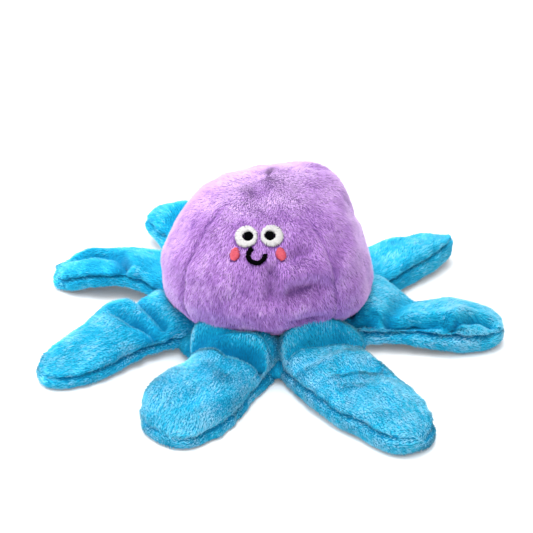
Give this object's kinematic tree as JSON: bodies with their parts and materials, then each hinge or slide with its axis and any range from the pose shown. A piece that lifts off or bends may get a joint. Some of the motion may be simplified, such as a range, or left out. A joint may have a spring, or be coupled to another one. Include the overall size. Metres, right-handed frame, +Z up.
{
  "type": "plush octopus",
  "caption": "Small plush octopus: round purple head with an embroidered face on a flat blue base, with stuffed arms that fold up and down.",
  "frame": {"origin": "middle of the hub's flat underside, on the surface that the toy lies on", "axes": "+Z up, -Y the way the face looks, +X to the right of someone who looks at the face"},
  "size_m": [0.224, 0.2268, 0.0842],
  "materials": {
    "purple_plush": "short plush",
    "blue_plush": "short plush",
    "fibre": "loose polyester fibre",
    "white_thread": "satin stitch",
    "black_thread": "satin stitch",
    "pink_thread": "satin stitch",
    "blue_thread": "sewing thread"
  },
  "bodies": {
    "toy": {"head_right_gore": "purple_plush", "head_back_gore": "purple_plush", "head_left_gore": "purple_plush", "head_front_gore": "purple_plush", "head_stuffing": "fibre", "left_eye_white": "white_thread", "left_pupil": "black_thread", "left_cheek": "pink_thread", "right_eye_white": "white_thread", "right_pupil": "black_thread", "right_cheek": "pink_thread", "mouth": "black_thread", "hub_top": "blue_plush", "hub_underside": "blue_plush", "hub_stuffing": "fibre", "neck_stitching": "blue_thread"},
    "arm_1": {"arm_1_top": "blue_plush", "arm_1_underside": "blue_plush", "arm_1_stuffing": "fibre"},
    "arm_2": {"arm_2_top": "blue_plush", "arm_2_underside": "blue_plush", "arm_2_stuffing": "fibre"},
    "arm_3": {"arm_3_top": "blue_plush", "arm_3_underside": "blue_plush", "arm_3_stuffing": "fibre"},
    "arm_4": {"arm_4_top": "blue_plush", "arm_4_underside": "blue_plush", "arm_4_stuffing": "fibre"},
    "arm_5": {"arm_5_top": "blue_plush", "arm_5_underside": "blue_plush", "arm_5_stuffing": "fibre"},
    "arm_6": {"arm_6_top": "blue_plush", "arm_6_underside": "blue_plush", "arm_6_stuffing": "fibre"},
    "arm_7": {"arm_7_top": "blue_plush", "arm_7_underside": "blue_plush", "arm_7_stuffing": "fibre"},
    "arm_8": {"arm_8_top": "blue_plush", "arm_8_underside": "blue_plush", "arm_8_stuffing": "fibre"}
  },
  "joints": [
    {"name": "arm_1_fold", "type": "hinge", "parent": "toy", "child": "arm_1", "pos_m": [0.05558, -0.00683, 0.0065], "axis": [-0.1219, -0.9925, 0], "range_deg": [-45, 60]},
    {"name": "arm_2_fold", "type": "hinge", "parent": "toy", "child": "arm_2", "pos_m": [0.04413, 0.03448, 0.0065], "axis": [0.682, -0.7314, 0], "range_deg": [-45, 60]},
    {"name": "arm_3_fold", "type": "hinge", "parent": "toy", "child": "arm_3", "pos_m": [0.01069, 0.05497, 0.0065], "axis": [0.9903, -0.1392, 0], "range_deg": [-45, 60]},
    {"name": "arm_4_fold", "type": "hinge", "parent": "toy", "child": "arm_4", "pos_m": [-0.02715, 0.04898, 0.0065], "axis": [0.788, 0.6157, 0], "range_deg": [-45, 60]},
    {"name": "arm_5_fold", "type": "hinge", "parent": "toy", "child": "arm_5", "pos_m": [-0.05228, 0.02007, 0.0065], "axis": [0.2588, 0.9659, 0], "range_deg": [-45, 60]},
    {"name": "arm_6_fold", "type": "hinge", "parent": "toy", "child": "arm_6", "pos_m": [-0.05075, -0.02367, 0.0065], "axis": [-0.5592, 0.829, 0], "range_deg": [-45, 60]},
    {"name": "arm_7_fold", "type": "hinge", "parent": "toy", "child": "arm_7", "pos_m": [-0.01449, -0.05409, 0.0065], "axis": [-0.9563, 0.2924, 0], "range_deg": [-45, 45]},
    {"name": "arm_8_fold", "type": "hinge", "parent": "toy", "child": "arm_8", "pos_m": [0.03132, -0.04643, 0.0065], "axis": [-0.809, -0.5878, 0], "range_deg": [-45, 45]}
  ]
}
